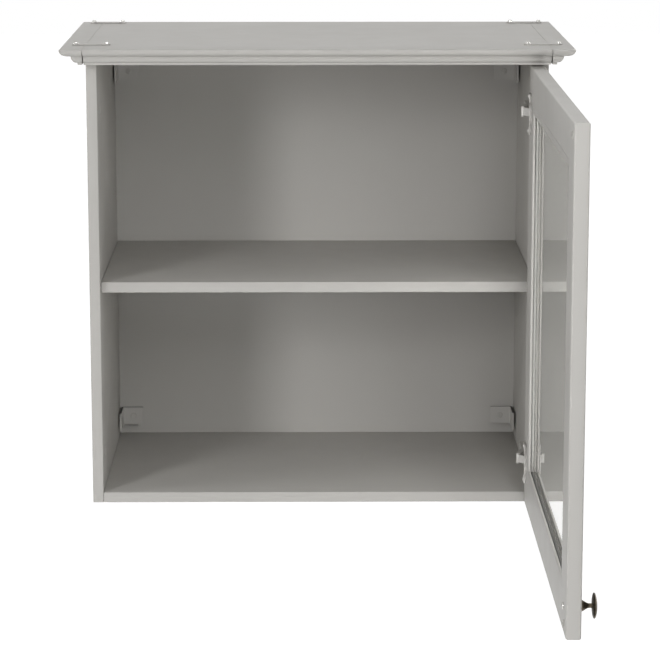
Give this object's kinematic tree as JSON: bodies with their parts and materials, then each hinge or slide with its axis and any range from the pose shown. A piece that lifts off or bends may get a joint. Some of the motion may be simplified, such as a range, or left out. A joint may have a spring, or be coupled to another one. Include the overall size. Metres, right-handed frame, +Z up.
{
  "type": "kitchen wall cabinet",
  "caption": "Wall-hung kitchen cabinet with a moulded cornice, an inner shelf and a glazed frame door on concealed hinges, shown with the door open.",
  "frame": {"origin": "centre of the back panel's rear face, on the wall plane", "axes": "+Z up, +Y out of the back towards the wall, so the front faces -Y, and +X to the right for someone facing the front"},
  "size_m": [0.66, 0.9495, 0.6147],
  "materials": {
    "grey_lacquer": "satin lacquer on fibreboard",
    "beech": "raw",
    "grey_paint": "satin",
    "zinc_plated_steel": "zinc plated",
    "nickel_plate": "nickel plated",
    "antique_bronze": "antique, dark",
    "clear_glass": "clear float glass",
    "clear_plastic": "clear",
    "grey_plastic": "matt"
  },
  "bodies": {
    "carcass": {"left_side_panel": "grey_lacquer", "right_side_panel": "grey_lacquer", "bottom_panel": "grey_lacquer", "back_panel": "grey_lacquer", "top_board": "grey_lacquer", "cornice_left": "grey_lacquer", "cornice_right": "grey_lacquer", "shelf": "grey_lacquer", "shelf_pin_front_left": "zinc_plated_steel", "shelf_pin_front_right": "zinc_plated_steel", "shelf_pin_rear_left": "zinc_plated_steel", "shelf_pin_rear_right": "zinc_plated_steel", "hinge_hole_cap_lower": "grey_plastic", "hinge_hole_cap_upper": "grey_plastic", "bottom_dowel_front_left": "beech", "bottom_dowel_front_right": "beech", "bottom_dowel_rear_left": "beech", "bottom_dowel_rear_right": "beech", "top_dowel_front_left": "beech", "top_dowel_front_right": "beech", "top_dowel_rear_left": "beech", "top_dowel_rear_right": "beech", "cornice_plate_front_left": "grey_paint", "cornice_plate_front_right": "grey_paint", "cornice_plate_rear_left": "grey_paint", "cornice_plate_rear_right": "grey_paint", "cornice_screw_front_left_strip": "zinc_plated_steel", "cornice_screw_front_left_board": "zinc_plated_steel", "cornice_screw_front_right_strip": "zinc_plated_steel", "cornice_screw_front_right_board": "zinc_plated_steel", "cornice_screw_rear_left_strip": "zinc_plated_steel", "cornice_screw_rear_left_board": "zinc_plated_steel", "cornice_screw_rear_right_strip": "zinc_plated_steel", "cornice_screw_rear_right_board": "zinc_plated_steel", "wall_bracket_lower_left": "grey_paint", "wall_bracket_lower_right": "grey_paint", "wall_bracket_upper_left": "grey_paint", "wall_bracket_upper_right": "grey_paint", "hinge_mounting_plate_lower": "nickel_plate", "hinge_mounting_plate_upper": "nickel_plate", "hinge_arm_lower": "nickel_plate", "hinge_arm_upper": "nickel_plate"},
    "door": {"door_stile_hinge": "grey_lacquer", "door_stile_free": "grey_lacquer", "door_rail_bottom": "grey_lacquer", "door_rail_top": "grey_lacquer", "glass_pane": "clear_glass", "glazing_bead_bottom": "grey_lacquer", "glazing_bead_top": "grey_lacquer", "glazing_bead_hinge": "grey_lacquer", "glazing_bead_free": "grey_lacquer", "hinge_cup_lower": "nickel_plate", "hinge_cup_upper": "nickel_plate", "knob": "antique_bronze", "knob_screw": "zinc_plated_steel", "door_bumper_lower": "clear_plastic", "door_bumper_upper": "clear_plastic"},
    "hinge_links": {"hinge_link_lower": "nickel_plate", "hinge_link_upper": "nickel_plate"}
  },
  "joints": [
    {"name": "door_swing", "type": "hinge", "parent": "carcass", "child": "door", "pos_m": [0.289, -0.362, 0], "axis": [0, 0, 1], "range_deg": [-90, 5]},
    {"name": "hinge_link_turn", "type": "hinge", "parent": "carcass", "child": "hinge_links", "pos_m": [0.2664, -0.3524, 0], "axis": [0, 0, 1], "range_deg": [-4, 54]}
  ],
  "couplings": [
    {"joint": "hinge_link_turn", "follows": "door_swing", "ratio": -0.57778}
  ]
}
